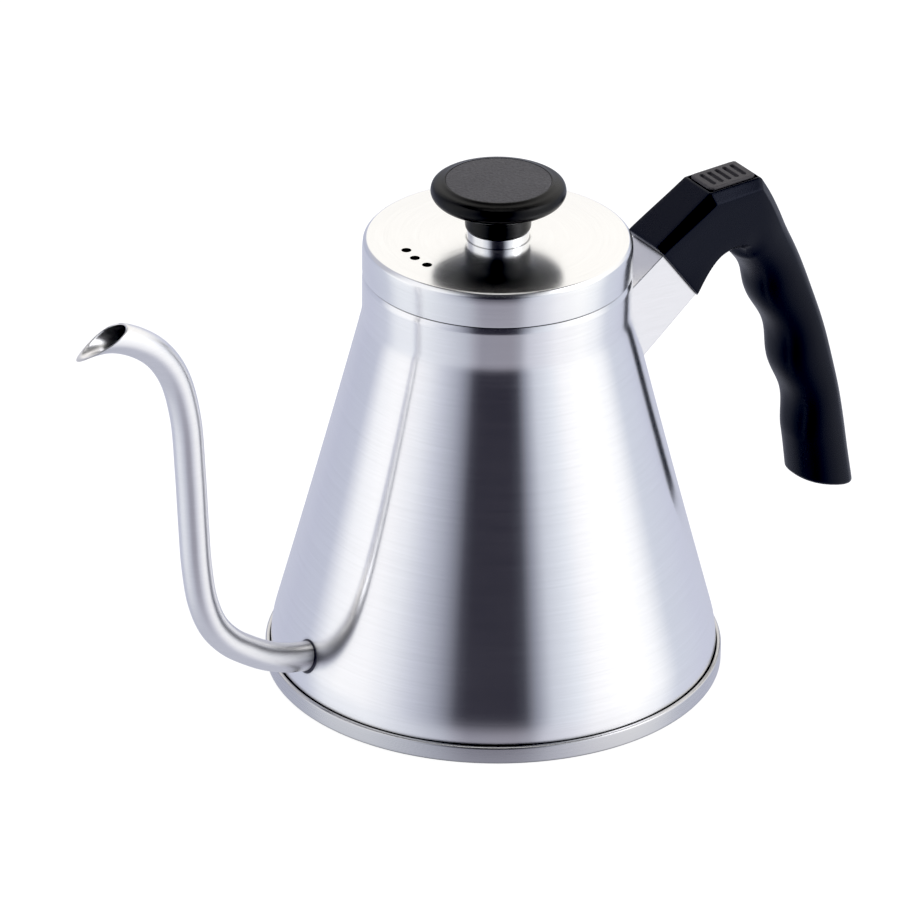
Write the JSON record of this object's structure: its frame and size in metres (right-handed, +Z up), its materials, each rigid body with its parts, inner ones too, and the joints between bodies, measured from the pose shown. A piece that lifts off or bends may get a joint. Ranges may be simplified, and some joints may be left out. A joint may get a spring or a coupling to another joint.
{
  "type": "gooseneck kettle",
  "caption": "Conical stainless stovetop kettle with a slender gooseneck spout, lift-off lid with a round knob, and an open moulded grip on a welded bracket.",
  "frame": {"origin": "centre of the foot's resting plane", "axes": "+Z up along the body's axis, spout along -X, grip along +X, Y = 0 is the plane of symmetry"},
  "size_m": [0.2736, 0.14, 0.1595],
  "materials": {
    "brushed_body": "fine brushing round the axis",
    "satin_lid": "satin, softly mirror-like on the flat top",
    "satin_bracket": "satin sheet",
    "polished_ferrule": "polished",
    "black_knob": "satin moulding",
    "grey_inlay": "fine grained matte",
    "black_grip": "semi-matte moulding with a faint texture",
    "thumb_pad": "matte",
    "zinc_fastener": "plain plated",
    "brass_insert": "machined"
  },
  "bodies": {
    "kettle": {"base_rim": "brushed_body", "base_plate": "brushed_body", "body_shell": "brushed_body", "spout_tube": "brushed_body", "handle_bracket": "satin_bracket", "bracket_tongue": "zinc_fastener", "handle_grip": "black_grip", "thumb_pad": "thumb_pad", "grip_nut": "zinc_fastener", "grip_washer": "zinc_fastener", "grip_screw": "zinc_fastener"},
    "lid": {"lid_cap": "satin_lid", "lid_inner_ring": "satin_lid", "knob_ferrule": "polished_ferrule", "knob_body": "black_knob", "knob_inlay": "grey_inlay", "knob_insert": "brass_insert", "knob_screw": "zinc_fastener", "knob_washer": "zinc_fastener"}
  },
  "joints": [
    {"name": "lid_lift", "type": "slide", "parent": "kettle", "child": "lid", "axis": [0, 0, 1], "range_m": [0, 0.06]}
  ]
}
